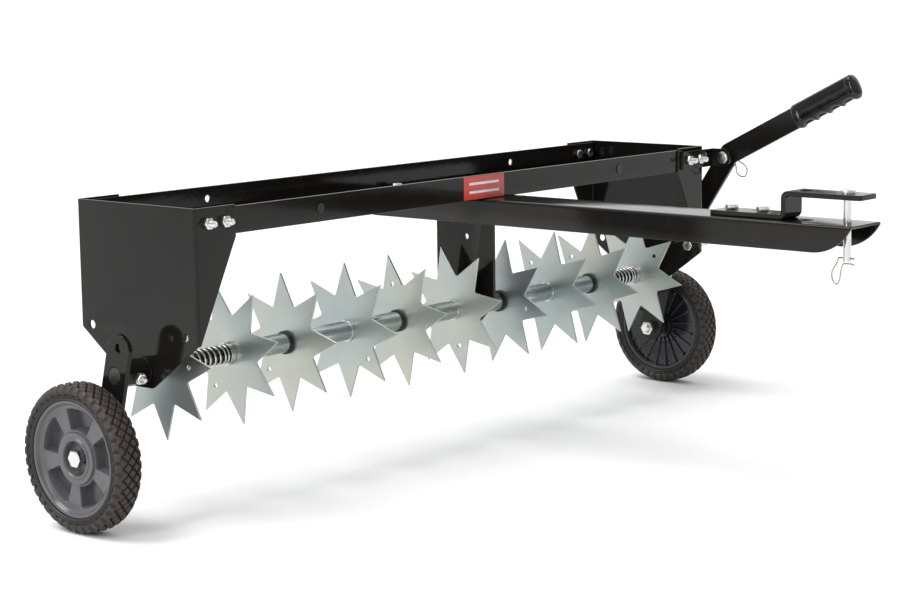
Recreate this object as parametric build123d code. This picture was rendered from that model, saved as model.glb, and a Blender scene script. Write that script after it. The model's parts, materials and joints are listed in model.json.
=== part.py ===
from build123d import *
import math
import os

# Tow-behind spike aerator, in mm. X is across the machine, +Y the rear, -Y the drawbar, +Z up.
# Everything is laid out from the star shaft's centre line, and save() moves it to the hitch origin.

# ---- overall sizes ----
frame_width = 1016.0        # over the two end plates
plate_top = 195.0
plate_bottom = -20.0
wheel_radius = 88.0
wheel_width = 38.0
star_radius = 87.6
star_room_front = 9.4       # star tips to the front face of the end plates
star_room_rear = 19.4       # star tips to their rear face
shaft_dia = 19.05
tongue_reach = 640.0        # shaft to the front end of the tongue
tyre_thickness = 19.0       # tread to the seat on the hub

# ---- clearances ----
running = 0.06              # radial, between a turning part and what it turns on
bolt_play = 0.3             # radial, between a bolt and its hole
side_gap = 0.3              # between faces that pass each other
pin_play = 0.09             # radial, between a slide pin and its hole

# ---- sheet and bar sections ----
plate_t = 2.7
plate_bend = 4.0
flange_width = 64.0
flange_foot = 5.0
flange_foot_z = 38.0
angle_leg = 31.75
angle_t = 3.2
angle_drop = 2.5            # top edge of the end plates to the angles
tongue_width = 69.85
tongue_height = 33.0
tongue_t = 3.0
tongue_x = 36.0
tongue_rear = 100.0
bracket_t = 6.35
bracket_width = 38.1
arm_t = 6.35
arm_width = 38.1
bar_width = 31.75
hanger_t = 5.0
hanger_width = 100.0
hanger_y = -4.0

# ---- derived planes ----
half_width = frame_width / 2
plate_front = star_radius + star_room_front
plate_rear = star_radius + star_room_rear
angle_top = plate_top - angle_drop
angle_bottom = angle_top - angle_leg
angle_y_front = -plate_front + plate_t
angle_y_rear = plate_rear - plate_t
tongue_top = angle_bottom
tongue_bottom = tongue_top - tongue_height
shaft_r = shaft_dia / 2
tyre_seat = wheel_radius - tyre_thickness
wheel_inner = half_width + 56.0
wheel_outer = wheel_inner + wheel_width
arm_outer = half_width + 43.0
arm_inner = arm_outer - arm_t
bar_outer = arm_inner
bar_inner = bar_outer - arm_t

# ---- bolts: shank radius, width across flats, head height, nut height ----
M8 = dict(r=3.95, af=12.7, head=5.3, nut=6.8)
M10 = dict(r=4.75, af=14.3, head=6.2, nut=8.3)
M12 = dict(r=6.35, af=19.0, head=7.9, nut=10.8)

# ---- hole and bolt positions ----
corner_bolt_x = (half_width - 45.0, half_width - 18.0)
corner_bolt_z = angle_top - 15.5
accessory_x = half_width - 206.0
accessory_r = 4.5
plug_hole_r = 5.0
plug_r = 6.2
plug_play = 0.05
plate_hole_y = (22.0 - plate_front, plate_rear - 20.0)
plate_hole_z = 46.0
plate_hole_r = 5.1
angle_bolt_in = 17.5        # from the angle's heel to the bolts through its lower leg
tongue_bolt_y = (angle_y_front + angle_bolt_in, angle_y_rear - angle_bolt_in)
hanger_bolt_y = (-34.0, 26.0)
hanger_bolt_z = tongue_bottom + 14.0
hanger_hole_z = tongue_bottom - 29.0

# ---- hitch ----
bracket_rear = tongue_reach - 202.0
riser_y = tongue_reach - 103.0
bracket_nose = tongue_reach + 4.0
bracket_top = tongue_top + 34.75
hitch_bolt_y = (tongue_reach - 183.0, tongue_reach - 139.0)
spare_hole_y = tongue_reach - 79.0
spare_hole_r = 8.1
hitch_pin_y = tongue_reach - 24.0
hitch_pin_r = 4.75
hitch_pin_end = tongue_bottom - 12.75
hitch_clip_z = hitch_pin_end + 4.5
clip_wire_r = 0.95
clip_gap = 0.8              # between a pin and the outer leg of its hairpin
cross_hole_r = 1.4

# ---- wheel hubs ----
hub_boss_r = 31.0
hub_recess_r = 20.0

# ---- wheel arms and lever ----
axle_y = 23.7
axle_z = -93.3
axle_reach = math.hypot(axle_y, axle_z)
arm_tilt = math.degrees(math.atan2(axle_y, -axle_z))
arm_top_hole = 34.0
arm_top_round = 31.0
collar_r = shaft_r + 6.0
lock_y = -plate_front - 21.0
lock_z = corner_bolt_z
lever_lean = math.degrees(math.atan2(-lock_y, lock_z))      # handle's lower leg, forward of vertical
lever_bend = math.hypot(lock_y, lock_z) + 6.3               # shaft to the bend, just past the lock pin
lever_rise = 26.6           # upper leg above horizontal
lever_upper = 240.0
grip_length = 112.0
grip_radius = 12.5
lock_pin_r = 4.75
tab_x = half_width + 24.0
tab_t = 4.0
stop_end = half_width + 44.0

# ---- stars ----
star_t = 2.7
star_points = 8
valley_ratio = 0.536
star_gap = 110.5            # odd star to the even star beside it
star_first = 29.0 - half_width
star_last = half_width - 40.5
star_pair = (star_last - star_first - star_gap) / 4         # from one odd star to the next
star_phase = (5.0, 14.8, 5.1, 2.2, 11.2, 13.1, -8.1, -8.0, -4.3, -5.9)
hole_tooth = (0, -3, -3, -1, 2, -2, 0, 3, 3, 1)
star_hole_reach = 0.56 * star_radius
star_hole_r = 3.0
tube_r = shaft_r + 3.0
tube_bore_r = shaft_r + 1.1
washer_r = shaft_r + 4.4
washer_t = 3.0
collar_t = 7.0              # zinc collar at the end of each spring
ring_t = 4.0
spring_wire_r = 1.45
spring_r = shaft_r + 1.9
spring_turns = 13
bush_r = shaft_r + 3.2
bush_flange_r = shaft_r + 7.5
bush_flange_t = 2.2

origin = (tongue_x, -spare_hole_y, (bracket_top + tongue_top - tongue_t) / 2)


def save(name, *solids):
    shape = solids[0] if len(solids) == 1 else Compound(children=list(solids))
    shape = Pos(-origin[0], -origin[1], -origin[2]) * shape
    shape.label = name
    export_step(shape, f"parts/{name}.step")


def rod_x(r, x0, x1, y=0.0, z=0.0):
    return Pos((x0 + x1) / 2, y, z) * Rot(0, 90, 0) * Cylinder(r, abs(x1 - x0))


def rod_y(r, y0, y1, x=0.0, z=0.0):
    return Pos(x, (y0 + y1) / 2, z) * Rot(90, 0, 0) * Cylinder(r, abs(y1 - y0))


def rod_z(r, z0, z1, x=0.0, y=0.0):
    return Pos(x, y, (z0 + z1) / 2) * Cylinder(r, abs(z1 - z0))


def block(x0, x1, y0, y1, z0, z1):
    return Pos((x0 + x1) / 2, (y0 + y1) / 2, (z0 + z1) / 2) * Box(abs(x1 - x0), abs(y1 - y0), abs(z1 - z0))


def outline(points):
    return make_face(Polyline(*points, close=True))


def prism_x(points, x0, x1):
    # points are (y, z)
    face = outline([(0, y, z) for y, z in points])
    return Pos(x0, 0, 0) * extrude(face, x1 - x0, dir=(1, 0, 0))


def prism_y(points, y0, y1):
    # points are (x, z)
    face = outline([(x, 0, z) for x, z in points])
    return Pos(0, y0, 0) * extrude(face, y1 - y0, dir=(0, 1, 0))


def along(axis, sign, at):
    # a frame whose +Z is the way a fastener's thread points, at a point
    turn = {"x": Rot(0, 90 * sign, 0), "y": Rot(-90 * sign, 0, 0), "z": Rot(0 if sign > 0 else 180, 0, 0)}[axis]
    return Pos(*at) * turn


def bolt(size, length, at, axis, sign):
    # at is the middle of the face under the head
    head = extrude(RegularPolygon(size["af"] / 2, 6, major_radius=False), -size["head"])
    head = head & Pos(0, 0, -size["head"]) * Cone(size["af"] * 0.52, size["af"] * 0.62, size["head"],
                                                  align=(Align.CENTER, Align.CENTER, Align.MIN))
    return along(axis, sign, at) * (head + rod_z(size["r"], 0, length))


def nut(size, at, axis, sign):
    # at is the middle of the face that bears; sign is the way the thread points
    body = extrude(RegularPolygon(size["af"] / 2, 6, major_radius=False), size["nut"])
    body = body - rod_z(size["r"], 0, size["nut"])
    return along(axis, sign, at) * body


def ring_x(r_out, r_in, x0, x1, y=0.0, z=0.0):
    return rod_x(r_out, x0, x1, y, z) - rod_x(r_in, x0, x1, y, z)


def end_plate(side):
    # a U of sheet seen from above, trimmed to the plate's and the flanges' outlines
    depth = plate_front + plate_rear
    outer = fillet(Rectangle(2 * flange_width, depth).vertices(), plate_bend)
    inner = fillet(Rectangle(2 * (flange_width - plate_t), depth - 2 * plate_t).vertices(), plate_bend - plate_t)
    keep = Pos(-flange_width / 2, 0) * Rectangle(flange_width, 2 * depth)
    height = plate_top - plate_bottom
    shell = extrude((outer - inner) & keep, height)
    shell = Pos(flange_width - half_width, (plate_rear - plate_front) / 2, plate_bottom) * shell
    side_view = [
        (-plate_front, plate_top), (plate_rear, plate_top), (plate_rear, flange_foot_z + 6),
        (19, plate_bottom), (-17, plate_bottom), (-plate_front, flange_foot_z),
    ]
    body = shell & prism_x(side_view, -half_width, -half_width + flange_width)
    wedge = [
        (-half_width + flange_foot, flange_foot_z), (-half_width + flange_width + 1, angle_bottom),
        (-half_width + flange_width + 1, plate_bottom), (-half_width + flange_foot, plate_bottom),
    ]
    for y0, y1 in ((-plate_front, -plate_front + plate_t), (plate_rear - plate_t, plate_rear)):
        body -= prism_y(wedge, y0, y1)
    low = body.edges().filter_by(Axis.X).filter_by(lambda e: abs(e.center().Z - plate_bottom) < 0.1)
    body = fillet(low, 10)
    body -= rod_x(bush_r, -half_width - 1, -half_width + plate_t + 1)
    for y in plate_hole_y:
        body -= rod_x(plate_hole_r, -half_width - 1, -half_width + plate_t + 1, y, plate_hole_z)
    for x in corner_bolt_x:
        for y in (-plate_front + plate_t / 2, plate_rear - plate_t / 2):
            body -= rod_y(M8["r"] + bolt_play, y - plate_t, y + plate_t, -x, corner_bolt_z)
    return body if side < 0 else mirror(body, Plane.YZ)


def frame_angle(heel_y, inward, open_r):
    # vertical leg against the flanges, lower leg turned into the tray
    half = half_width - plate_t - 1.5
    tip = heel_y + inward * angle_leg
    face_y = heel_y + inward * angle_t
    points = [
        (heel_y, angle_bottom), (tip, angle_bottom), (tip, angle_bottom + angle_t),
        (face_y, angle_bottom + angle_t), (face_y, angle_top), (heel_y, angle_top),
    ]
    body = prism_x(points, -half, half)
    for x in corner_bolt_x:
        for side in (-1, 1):
            body -= rod_y(M8["r"] + bolt_play, heel_y - 5, heel_y + 5, side * x, corner_bolt_z)
    for side in (-1, 1):
        body -= rod_y(open_r, heel_y - 5, heel_y + 5, side * accessory_x, corner_bolt_z)
    y = heel_y + inward * angle_bolt_in
    return body - rod_z(M8["r"] + bolt_play, angle_bottom - 1, angle_bottom + 5, tongue_x, y)


def tongue():
    left = tongue_x - tongue_width / 2
    right = tongue_x + tongue_width / 2
    body = block(left, right, -tongue_reach, tongue_rear, tongue_bottom, tongue_top)
    body = fillet(body.edges().filter_by(Axis.Y).group_by(Axis.Z)[-1], 3.5)
    body -= block(left + tongue_t, right - tongue_t, -tongue_reach - 1, tongue_rear + 1,
                  tongue_bottom - 1, tongue_top - tongue_t)
    # the flanges sweep up to the web at the front
    sweep = make_face(Curve() + [
        ThreePointArc((0, -tongue_reach + 50, tongue_bottom), (0, -tongue_reach + 17, tongue_bottom + 11),
                      (0, -tongue_reach, tongue_top - tongue_t)),
        Polyline((0, -tongue_reach, tongue_top - tongue_t), (0, -tongue_reach - 5, tongue_top - tongue_t),
                 (0, -tongue_reach - 5, tongue_bottom - 5), (0, -tongue_reach + 50, tongue_bottom - 5),
                 (0, -tongue_reach + 50, tongue_bottom)),
    ])
    body -= Pos(left - 1, 0, 0) * extrude(sweep, tongue_width + 2, dir=(1, 0, 0))
    for y in tongue_bolt_y:
        body -= rod_z(M8["r"] + bolt_play, tongue_top - 5, tongue_top + 1, tongue_x, y)
    for y in hitch_bolt_y:
        body -= rod_z(M10["r"] + bolt_play, tongue_top - 5, tongue_top + 1, tongue_x, -y)
    body -= rod_z(spare_hole_r, tongue_top - 5, tongue_top + 1, tongue_x, -spare_hole_y)
    body -= rod_z(hitch_pin_r + pin_play, tongue_top - 5, tongue_top + 1, tongue_x, -hitch_pin_y)
    for y in hanger_bolt_y:
        body -= rod_x(M8["r"] + bolt_play, right - 5, right + 1, y, hanger_bolt_z)
    return body


def hitch_bracket():
    # a flat bar with two square bends, on the web at the rear and raised at the front
    base = tongue_top
    step = bracket_top - bracket_t
    points = [
        (-bracket_rear, base), (-riser_y - bracket_t, base), (-riser_y - bracket_t, step),
        (-bracket_nose, step), (-bracket_nose, bracket_top), (-riser_y, bracket_top),
        (-riser_y, base + bracket_t), (-bracket_rear, base + bracket_t),
    ]
    body = prism_x(points, tongue_x - bracket_width / 2, tongue_x + bracket_width / 2)

    def bend(y, z, r):
        nonlocal body
        edge = body.edges().filter_by(Axis.X).sort_by_distance((tongue_x, y, z))[0]
        body = fillet(edge, r)

    bend(-riser_y, bracket_top, 9.0)
    bend(-riser_y - bracket_t, step, 3.0)
    bend(-riser_y - bracket_t, base, 9.0)
    bend(-riser_y, base + bracket_t, 3.0)
    body = fillet(body.edges().filter_by(Axis.Z).group_by(Axis.Y)[0], 4)
    for y in hitch_bolt_y:
        body -= rod_z(M10["r"] + bolt_play, base - 1, base + 10, tongue_x, -y)
    body -= rod_z(spare_hole_r, step - 1, bracket_top + 1, tongue_x, -spare_hole_y)
    body -= rod_z(hitch_pin_r + pin_play, step - 1, bracket_top + 1, tongue_x, -hitch_pin_y)
    return body


def hanger():
    x0 = tongue_x + tongue_width / 2
    half = hanger_width / 2
    top = tongue_top - 4.0
    points = [
        (hanger_y - half, top), (hanger_y + half, top), (hanger_y + half, 12), (20, -26), (-20, -26),
        (hanger_y - half, 12),
    ]
    body = prism_x(points, x0, x0 + hanger_t)
    body -= rod_x(bush_r, x0 - 1, x0 + hanger_t + 1)
    body -= rod_x(4.2, x0 - 1, x0 + hanger_t + 1, -6.5, hanger_hole_z)
    for y in hanger_bolt_y:
        body -= rod_x(M8["r"] + bolt_play, x0 - 1, x0 + hanger_t + 1, y, hanger_bolt_z)
    return body


def lock_bracket():
    # flat on the right flange, then bent forward beside the lever
    z0 = lock_z - 13.0
    z1 = lock_z + 13.0
    back = -plate_front
    body = block(corner_bolt_x[0] - 12, tab_x, back - tab_t, back, z0, z1)
    body += block(tab_x - tab_t, tab_x, lock_y, back, z0, z1)
    body += rod_x(13.0, tab_x - tab_t, tab_x, lock_y, lock_z)
    corner = body.edges().filter_by(Axis.Z).sort_by_distance((tab_x, back, lock_z))[0]
    body = fillet(corner, 6.0)
    body -= rod_x(lock_pin_r + pin_play, tab_x - 10, tab_x + 5, lock_y, lock_z)
    for x in corner_bolt_x:
        body -= rod_y(M8["r"] + bolt_play, back - 10, back + 1, x, corner_bolt_z)
    return body


def wheel_arm(x0):
    top_y = -arm_top_round * math.sin(math.radians(arm_tilt))
    top_z = arm_top_round * math.cos(math.radians(arm_tilt))
    span = axle_reach + arm_top_round
    mid = Pos(x0 + arm_t / 2, (top_y + axle_y) / 2, (top_z + axle_z) / 2) * Rot(arm_tilt, 0, 0)
    body = mid * Box(arm_t, arm_width, span)
    body += rod_x(arm_width / 2, x0, x0 + arm_t, top_y, top_z)
    body += rod_x(arm_width / 2, x0, x0 + arm_t, axle_y, axle_z)
    body -= rod_x(shaft_r, x0 - 1, x0 + arm_t + 1)
    body -= rod_x(M12["r"], x0 - 1, x0 + arm_t + 1, axle_y, axle_z)
    hole_y = -arm_top_hole * math.sin(math.radians(arm_tilt))
    hole_z = arm_top_hole * math.cos(math.radians(arm_tilt))
    body -= rod_x(M10["r"] + bolt_play, x0 - 1, x0 + arm_t + 1, hole_y, hole_z)
    return body


def lever_point(t, u=0.0):
    # t along the lower leg from the shaft, then u along the upper leg from the bend
    lean = math.radians(lever_lean)
    rise = math.radians(lever_rise)
    return (-t * math.sin(lean) - u * math.cos(rise), t * math.cos(lean) + u * math.sin(rise))


def lever_bar():
    bend = lever_point(lever_bend)
    tip = lever_point(lever_bend, lever_upper - 6)
    body = Part()
    for (ya, za), (yb, zb) in (((0.0, 0.0), bend), (bend, tip)):
        turn = math.degrees(math.atan2(zb - za, yb - ya))
        piece = Pos(bar_inner + arm_t / 2, (ya + yb) / 2, (za + zb) / 2) * Rot(turn, 0, 0)
        body += piece * Box(arm_t, math.hypot(yb - ya, zb - za), bar_width)
    body += rod_x(arm_width / 2, bar_inner, bar_outer)
    body += rod_x(bar_width / 2, bar_inner, bar_outer, *bend)
    body -= rod_x(shaft_r, bar_inner - 1, bar_outer + 1)
    body -= rod_x(lock_pin_r + pin_play, bar_inner - 1, bar_outer + 1, lock_y, lock_z)
    hole_y = -arm_top_hole * math.sin(math.radians(arm_tilt))
    hole_z = arm_top_hole * math.cos(math.radians(arm_tilt))
    body -= rod_x(M10["r"] + bolt_play, bar_inner - 1, bar_outer + 1, hole_y, hole_z)
    return body


def grip():
    # moulded round the end of the bar, with finger bumps on the lower side
    x_mid = (bar_inner + bar_outer) / 2
    body = Box(2 * grip_radius, grip_length, 1.16 * bar_width)
    body = fillet(body.edges().filter_by(Axis.Y), grip_radius - 1.5)
    body = fillet(body.faces().sort_by(Axis.Y)[0].edges(), 4)
    body = fillet(body.faces().sort_by(Axis.Y)[-1].edges(), 4)
    pitch = grip_length / 5
    for i in range(4):
        y = -1.5 * pitch + i * pitch
        body -= Pos(0, y, -1.16 * bar_width / 2 - 13) * Rot(0, 90, 0) * Cylinder(16, 3 * grip_radius)
    mid_y, mid_z = lever_point(lever_bend, lever_upper - grip_length / 2)
    body = Pos(x_mid, mid_y, mid_z) * Rot(-lever_rise, 0, 0) * body
    return body - lever_bar()


def star(index):
    x = star_x(index)
    valley = valley_ratio * star_radius
    phase = star_phase[index - 1]
    step = 360.0 / star_points
    points = []
    for k in range(star_points):
        for r, turn in ((star_radius, phase + k * step), (valley, phase + (k + 0.5) * step)):
            a = math.radians(turn)
            points.append((-r * math.cos(a), r * math.sin(a)))
    body = prism_x(points, x - star_t / 2, x + star_t / 2)
    roots = body.edges().filter_by(Axis.X).filter_by(
        lambda e: math.hypot(e.center().Y, e.center().Z) < valley + 1)
    body = fillet(roots, 3.0)
    body -= rod_x(shaft_r + running, x - 5, x + 5)
    a = math.radians(phase + hole_tooth[index - 1] * step)
    body -= rod_x(star_hole_r, x - 5, x + 5, -star_hole_reach * math.cos(a), star_hole_reach * math.sin(a))
    return body


def star_x(index):
    pair, even = divmod(index - 1, 2)
    return star_first + pair * star_pair + even * star_gap


def coil_spring(x0, x1):
    height = x1 - x0 - 2 * spring_wire_r
    path = Helix(height / spring_turns, height, spring_r)
    start = path @ 0
    section = Plane(origin=start, z_dir=path % 0) * Circle(spring_wire_r)
    body = sweep(section, path=path, is_frenet=True)
    return Pos(x0 + spring_wire_r, 0, 0) * Rot(0, 90, 0) * body


def hub(side):
    # moulded wheel centre: rim, web, five broad spokes outside and thin ribs inside, along +X
    rim_r = tyre_seat
    depth = wheel_width - 4.0
    body = rod_x(rim_r, -depth / 2, depth / 2) - rod_x(rim_r - 6, -depth / 2 - 1, depth / 2 + 1)
    body += rod_x(rim_r - 3, -2, 2)
    body += rod_x(22, -depth / 2, 0) + rod_x(hub_boss_r, 0, depth / 2 - 4)
    for k in range(5):
        spoke = block(2, 11, -9.5, 9.5, 12, rim_r - 3)
        body += Rot(72 * k, 0, 0) * spoke
    for k in range(20):
        rib = block(-depth / 2 + 3, -1, -1.1, 1.1, 20, rim_r - 4)
        body += Rot(18 * k, 0, 0) * rib
    body -= rod_x(hub_recess_r, depth / 2 - 12, depth / 2 + 1)
    body -= rod_x(M12["r"] + running, -depth, depth)
    mid = (wheel_inner + wheel_outer) / 2
    body = Pos(mid, axle_y, axle_z) * body
    return body if side > 0 else mirror(body, Plane.YZ)


def tyre(side):
    half = wheel_width / 2
    shoulder = 7.0
    section = make_face(Curve() + [
        Polyline((-half + 2, tyre_seat), (-half, tyre_seat + 4), (-half, wheel_radius - shoulder)),
        ThreePointArc((-half, wheel_radius - shoulder), (-half + 2.2, wheel_radius - 2.2),
                      (-half + shoulder, wheel_radius)),
        Line((-half + shoulder, wheel_radius), (half - shoulder, wheel_radius)),
        ThreePointArc((half - shoulder, wheel_radius), (half - 2.2, wheel_radius - 2.2),
                      (half, wheel_radius - shoulder)),
        Polyline((half, wheel_radius - shoulder), (half, tyre_seat + 4), (half - 2, tyre_seat),
                 (-half + 2, tyre_seat)),
    ])
    body = revolve(section, Axis.X)
    mid = (wheel_inner + wheel_outer) / 2
    return Pos(side * mid, axle_y, axle_z) * body


def hairpin(pin_r, loop):
    # in the XY plane: straight leg along X through the pin at the origin, loop at +X, outer leg below
    below = pin_r + clip_wire_r + clip_gap
    ends = [(0, -below), (-pin_r, -below), (-pin_r - 5, -below - 2.0)]
    start = (pin_r + 5, 0)
    wire = Line((-pin_r - 5, 0), start) + Spline(start, *loop, *ends, tangents=[(1, 0), (-1, -1)])
    section = Plane(origin=wire @ 0, z_dir=wire % 0) * Circle(clip_wire_r)
    return sweep(section, path=wire)


os.makedirs("parts", exist_ok=True)

# ---- welded and bolted frame ----
save("plate_left", end_plate(-1))
save("plate_right", end_plate(1))
save("angle_front", frame_angle(angle_y_front, 1, plug_hole_r))
save("angle_rear", frame_angle(angle_y_rear, -1, accessory_r))
save("tongue", tongue())
save("hanger", hanger())
save("hitch_bracket", hitch_bracket())
save("lock_bracket", lock_bracket())

corner_bolts = []
corner_nuts = []
for side in (-1, 1):
    for x in corner_bolt_x:
        front_face = -plate_front - (tab_t if side > 0 else 0)
        inner = angle_y_front + angle_t
        corner_bolts.append(bolt(M8, inner - front_face + 16, (side * x, inner, corner_bolt_z), "y", -1))
        corner_nuts.append(nut(M8, (side * x, front_face, corner_bolt_z), "y", -1))
        inner = angle_y_rear - angle_t
        corner_bolts.append(bolt(M8, plate_rear - inner + 16, (side * x, inner, corner_bolt_z), "y", 1))
        corner_nuts.append(nut(M8, (side * x, plate_rear, corner_bolt_z), "y", 1))
save("corner_bolts", *corner_bolts)
save("corner_nuts", *corner_nuts)

tongue_bolts = []
tongue_nuts = []
for y in tongue_bolt_y:
    tongue_bolts.append(bolt(M8, angle_t + tongue_t + 12, (tongue_x, y, angle_bottom + angle_t), "z", -1))
    tongue_nuts.append(nut(M8, (tongue_x, y, tongue_top - tongue_t), "z", -1))
save("tongue_bolts", *tongue_bolts)
save("tongue_nuts", *tongue_nuts)

hitch_bolts = []
hitch_nuts = []
for y in hitch_bolt_y:
    hitch_bolts.append(bolt(M10, bracket_t + tongue_t + 14, (tongue_x, -y, tongue_top + bracket_t), "z", -1))
    hitch_nuts.append(nut(M10, (tongue_x, -y, tongue_top - tongue_t), "z", -1))
save("hitch_bolts", *hitch_bolts)
save("hitch_nuts", *hitch_nuts)

hanger_bolts = []
hanger_nuts = []
hanger_x = tongue_x + tongue_width / 2
for y in hanger_bolt_y:
    hanger_bolts.append(bolt(M8, hanger_t + tongue_t + 11, (hanger_x + hanger_t, y, hanger_bolt_z), "x", -1))
    hanger_nuts.append(nut(M8, (hanger_x - tongue_t, y, hanger_bolt_z), "x", -1))
save("hanger_bolts", *hanger_bolts)
save("hanger_nuts", *hanger_nuts)

stop_at = (half_width - plate_t, plate_hole_y[0], plate_hole_z)
save("stop_bolt", bolt(M10, stop_end - stop_at[0], stop_at, "x", 1))
save("stop_nut", nut(M10, (half_width, plate_hole_y[0], plate_hole_z), "x", 1))

# push-in plugs that close the front angle's holes
plugs = []
for side in (-1, 1):
    x = side * accessory_x
    stem = rod_y(plug_hole_r - plug_play, angle_y_front, angle_y_front + angle_t + 1, x, corner_bolt_z)
    plugs.append(stem + rod_y(plug_r, angle_y_front - 1.2, angle_y_front, x, corner_bolt_z))
save("hole_plugs", *plugs)

# flanged bushes that carry the shaft in the end plates and the hanger
bushes = []
for x0, t, out in ((-half_width, plate_t, -1), (half_width - plate_t, plate_t, 1), (hanger_x, hanger_t, 1)):
    flange_x = x0 + t if out > 0 else x0 - bush_flange_t
    bush = rod_x(bush_r, x0, x0 + t) + rod_x(bush_flange_r, flange_x, flange_x + bush_flange_t)
    bushes.append(bush - rod_x(shaft_r + running, x0 - 9, x0 + t + 9))
save("shaft_bushes", *bushes)

label_y = angle_y_front - 0.35
save("label", block(-36, 46, label_y, angle_y_front, angle_bottom + 1.2, angle_top - 0.8))

# ---- lever, arms and shaft ----
save("wheel_arm_left", wheel_arm(-arm_outer))
save("wheel_arm_right", wheel_arm(arm_inner))
save("lever_bar", lever_bar())
save("lever_grip", grip())

collar_inner = half_width + bush_flange_t + side_gap
bolt_x = half_width + 19.0
tilt = Rot(arm_tilt, 0, 0)
shaft = rod_x(shaft_r, -arm_outer, arm_outer)
collars = []
cross_bolts = []
cross_nuts = []
for side, outer in ((-1, arm_inner), (1, bar_inner)):
    collar = ring_x(collar_r, shaft_r, side * collar_inner, side * outer)
    drill = tilt * rod_y(M8["r"], -40, 40, side * bolt_x)
    collars.append(collar - drill)
    shaft -= drill
    head_at = (side * bolt_x, collar_r - 0.6, 0)
    cross_bolts.append(tilt * bolt(M8, 2 * collar_r + 11, head_at, "y", -1) - collar)
    cross_nuts.append(tilt * nut(M8, (side * bolt_x, -collar_r - 0.1, 0), "y", -1))
save("shaft", shaft)
save("arm_collars", *collars)
save("cross_bolts", *cross_bolts)
save("cross_nuts", *cross_nuts)

join_y = -arm_top_hole * math.sin(math.radians(arm_tilt))
join_z = arm_top_hole * math.cos(math.radians(arm_tilt))
save("lever_bolt", bolt(M10, 2 * arm_t + 12, (arm_outer, join_y, join_z), "x", -1))
save("lever_nut", nut(M10, (bar_inner, join_y, join_z), "x", -1))

hub_mid = (wheel_inner + wheel_outer) / 2
hub_half = (wheel_width - 4.0) / 2
head_x = hub_mid + hub_half - 12 + side_gap
axle_bolts = []
axle_nuts = []
axle_spacers = []
for side in (-1, 1):
    length = head_x - arm_inner + M12["nut"] + 4
    axle_bolts.append(bolt(M12, length, (side * head_x, axle_y, axle_z), "x", -side))
    axle_nuts.append(nut(M12, (side * arm_inner, axle_y, axle_z), "x", -side))
    spacer_end = hub_mid - hub_half - side_gap
    axle_spacers.append(ring_x(12, M12["r"], side * arm_outer, side * spacer_end, axle_y, axle_z))
save("axle_bolts", *axle_bolts)
save("axle_nuts", *axle_nuts)
save("axle_spacers", *axle_spacers)

# ---- stars and what spaces them ----
for index in range(1, 11):
    save(f"star_{index:02d}", star(index))

gap = star_t / 2 + side_gap
tubes = []
zinc_washers = []
black_rings = []
first_inner = -half_width + plate_t
tubes.append(ring_x(tube_r, tube_bore_r, first_inner + side_gap, star_x(1) - gap))
tubes.append(ring_x(tube_r, tube_bore_r, star_x(10) + gap, half_width - plate_t - side_gap))
for index in range(1, 10):
    start = star_x(index) + gap
    end = star_x(index + 1) - gap
    sprung = index in (1, 9)
    if (index + 1) % 2 == 0:
        long = collar_t if sprung else washer_t
        zinc_washers.append(ring_x(washer_r, shaft_r, end - long, end))
        end -= long
    else:
        black_rings.append(ring_x(washer_r + 0.8, shaft_r, end - ring_t, end))
        end -= ring_t
    if index == 1:
        save("spring_left", coil_spring(start, end))
    elif index == 9:
        save("spring_right", coil_spring(start, end))
    elif index == 6:
        tubes.append(ring_x(tube_r, tube_bore_r, start, hanger_x - side_gap))
        tubes.append(ring_x(tube_r, tube_bore_r, hanger_x + hanger_t + bush_flange_t + side_gap, end))
    else:
        tubes.append(ring_x(tube_r, tube_bore_r, start, end))
save("spacer_tubes", *tubes)
save("star_washers", *zinc_washers)
save("star_rings", *black_rings)

# ---- wheels ----
for name, side in (("left", -1), ("right", 1)):
    save(f"hub_{name}", hub(side))
    save(f"tyre_{name}", tyre(side))

# ---- pins and hairpin clips ----
lock_head = rod_x(9.0, tab_x - tab_t - 4.0, tab_x - tab_t, lock_y, lock_z)
lock_clip_x = bar_outer + 6.0
lock_pin = lock_head + rod_x(lock_pin_r, tab_x - tab_t, lock_clip_x + 5, lock_y, lock_z)
clip_turn = 235.0
lock_drill = Pos(lock_clip_x, lock_y, lock_z) * Rot(clip_turn, 0, 0) * rod_y(cross_hole_r, -20, 20)
save("lock_pin", lock_pin - lock_drill)
lock_loop = [(26.0, 5.0), (37.0, -3.5), (29.0, -13.5), (12.0, -7.4)]
lock_frame = Pos(lock_clip_x, lock_y, lock_z) * Rot(clip_turn, 0, 0) * Rot(0, 90, 0) * Rot(0, 0, 90)
save("lock_clip", lock_frame * hairpin(lock_pin_r, lock_loop))

hitch_pin = rod_z(hitch_pin_r, hitch_pin_end, bracket_top, tongue_x, -hitch_pin_y)
hitch_pin += rod_z(9.0, bracket_top, bracket_top + 3.6, tongue_x, -hitch_pin_y)
hitch_pin = fillet(hitch_pin.edges().group_by(Axis.Z)[-1], 1.0)
hitch_pin -= rod_y(cross_hole_r, -hitch_pin_y - 20, -hitch_pin_y + 20, tongue_x, hitch_clip_z)
save("hitch_pin", hitch_pin)
hitch_loop = [(12.0, -3.0), (18.0, -14.0), (18.5, -27.0), (13.0, -31.5), (9.0, -24.0), (7.0, -12.0), (4.0, -6.9)]
hitch_frame = Plane(origin=(tongue_x, -hitch_pin_y, hitch_clip_z), x_dir=(0, 1, 0), z_dir=(1, 0, 0))
save("hitch_clip", hitch_frame.location * hairpin(hitch_pin_r, hitch_loop))
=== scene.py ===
import json
import math
import bmesh
import bpy
from mathutils import Matrix, Vector


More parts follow.
